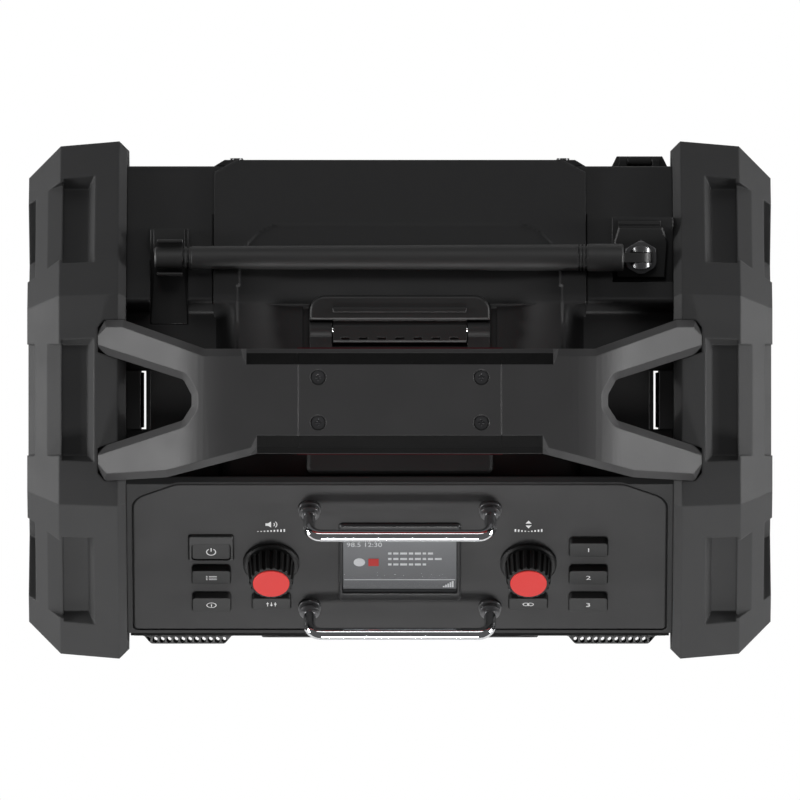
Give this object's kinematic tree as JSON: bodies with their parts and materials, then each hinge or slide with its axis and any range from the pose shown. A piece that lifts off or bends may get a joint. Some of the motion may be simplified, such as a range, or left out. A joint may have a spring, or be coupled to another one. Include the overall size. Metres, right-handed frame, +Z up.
{
  "type": "jobsite radio",
  "caption": "Rugged portable jobsite radio with bumper end guards, fork-ended carry handle, tilted control panel, speaker grille, lidded compartment and folding antenna.",
  "frame": {"origin": "on the floor below the middle of the radio", "axes": "+X to the radio's left-to-right direction seen from the front, +Y to its rear, +Z up"},
  "size_m": [0.4296, 0.2996, 0.32],
  "materials": {
    "body_plastic": "fine grained black plastic",
    "panel_plastic": "fine grained dark grey plastic",
    "black_plastic": "smooth black plastic",
    "black_gloss": "glossy black plastic",
    "screen_glass": "tinted clear window",
    "bright_bar": "bright plated steel",
    "dark_steel": "dark zinc steel",
    "grille_steel": "black painted perforated sheet",
    "speaker_black": "black cone and basket",
    "guard_rubber": "grained black rubber",
    "foot_rubber": "plain black rubber",
    "handle_plastic": "grained black plastic",
    "red_plastic": "satin red plastic",
    "antenna_rubber": "black overmould",
    "knob_black": "fluted black plastic",
    "button_rubber": "soft black keys",
    "board_green": "circuit board"
  },
  "bodies": {
    "chassis": {"control_panel": "panel_plastic", "power_bezel": "black_plastic", "control_board": "board_green", "display_bezel": "black_gloss", "display_lens": "screen_glass", "display_module": "black_plastic", "upper_guard_bar": "bright_bar", "lower_guard_bar": "bright_bar", "bar_collars": "bright_bar", "front_housing": "body_plastic", "rear_housing": "body_plastic", "rear_cover": "body_plastic", "rear_cover_screws": "dark_steel", "front_grille": "grille_steel", "grille_trim": "black_plastic", "woofer": "speaker_black", "left_speaker": "speaker_black", "right_speaker": "speaker_black", "left_guard": "guard_rubber", "right_guard": "guard_rubber", "guard_feet": "foot_rubber", "guard_bolts": "dark_steel", "handle_frame": "handle_plastic", "grip_cover": "handle_plastic", "grip_underside": "red_plastic", "handle_screws": "dark_steel", "compartment_tray": "black_plastic", "lid_hinge_cover": "black_plastic", "lid_hinge_pin": "bright_bar", "antenna_fork": "dark_steel", "antenna_pin": "dark_steel", "antenna_nut": "dark_steel", "antenna_pedestal": "black_plastic", "antenna_clip": "black_plastic", "power_inlet": "black_plastic", "inlet_cap_pin": "dark_steel", "main_board": "board_green", "volume_encoder": "dark_steel", "tuning_encoder": "dark_steel"},
    "volume_knob": {"volume_knob": "knob_black", "volume_knob_cap": "red_plastic", "volume_spindle": "dark_steel"},
    "tuning_knob": {"tuning_knob": "knob_black", "tuning_knob_cap": "red_plastic", "tuning_spindle": "dark_steel"},
    "lid": {"compartment_lid": "body_plastic"},
    "antenna": {"antenna_rod": "antenna_rubber", "antenna_barrel": "antenna_rubber"},
    "inlet_cap": {"inlet_cap": "foot_rubber"},
    "power_button": {"power_button": "button_rubber"},
    "source_button": {"source_button": "button_rubber"},
    "info_button": {"info_button": "button_rubber"},
    "tone_button": {"tone_button": "button_rubber"},
    "link_button": {"link_button": "button_rubber"},
    "preset_button_1": {"preset_button_1": "button_rubber"},
    "preset_button_2": {"preset_button_2": "button_rubber"},
    "preset_button_3": {"preset_button_3": "button_rubber"}
  },
  "joints": [
    {"name": "volume_turn", "type": "hinge", "parent": "chassis", "child": "volume_knob", "pos_m": [-0.0743, -0.09381, 0.20284], "axis": [0, -0.7071, 0.7071], "continuous": true},
    {"name": "tuning_turn", "type": "hinge", "parent": "chassis", "child": "tuning_knob", "pos_m": [0.0743, -0.09381, 0.20284], "axis": [0, -0.7071, 0.7071], "continuous": true},
    {"name": "power_button_push", "type": "slide", "parent": "chassis", "child": "power_button", "axis": [0, 0.7071, -0.7071], "range_m": [0, 0.001], "stiffness_N_per_m": 800},
    {"name": "source_button_push", "type": "slide", "parent": "chassis", "child": "source_button", "axis": [0, 0.7071, -0.7071], "range_m": [0, 0.001], "stiffness_N_per_m": 800},
    {"name": "info_button_push", "type": "slide", "parent": "chassis", "child": "info_button", "axis": [0, 0.7071, -0.7071], "range_m": [0, 0.001], "stiffness_N_per_m": 800},
    {"name": "tone_button_push", "type": "slide", "parent": "chassis", "child": "tone_button", "axis": [0, 0.7071, -0.7071], "range_m": [0, 0.001], "stiffness_N_per_m": 800},
    {"name": "link_button_push", "type": "slide", "parent": "chassis", "child": "link_button", "axis": [0, 0.7071, -0.7071], "range_m": [0, 0.001], "stiffness_N_per_m": 800},
    {"name": "preset_button_1_push", "type": "slide", "parent": "chassis", "child": "preset_button_1", "axis": [0, 0.7071, -0.7071], "range_m": [0, 0.001], "stiffness_N_per_m": 800},
    {"name": "preset_button_2_push", "type": "slide", "parent": "chassis", "child": "preset_button_2", "axis": [0, 0.7071, -0.7071], "range_m": [0, 0.001], "stiffness_N_per_m": 800},
    {"name": "preset_button_3_push", "type": "slide", "parent": "chassis", "child": "preset_button_3", "axis": [0, 0.7071, -0.7071], "range_m": [0, 0.001], "stiffness_N_per_m": 800},
    {"name": "lid_open", "type": "hinge", "parent": "chassis", "child": "lid", "pos_m": [0, 0.0406, 0.2436], "axis": [-1, 0, 0], "range_deg": [0, 28]},
    {"name": "antenna_fold", "type": "hinge", "parent": "chassis", "child": "antenna", "pos_m": [0.1391, 0.0821, 0.24], "axis": [0, 1, 0], "range_deg": [0, 90]},
    {"name": "inlet_cap_open", "type": "hinge", "parent": "chassis", "child": "inlet_cap", "pos_m": [0.1394, 0.139, 0.114], "axis": [1, 0, 0], "range_deg": [0, 110]}
  ]
}
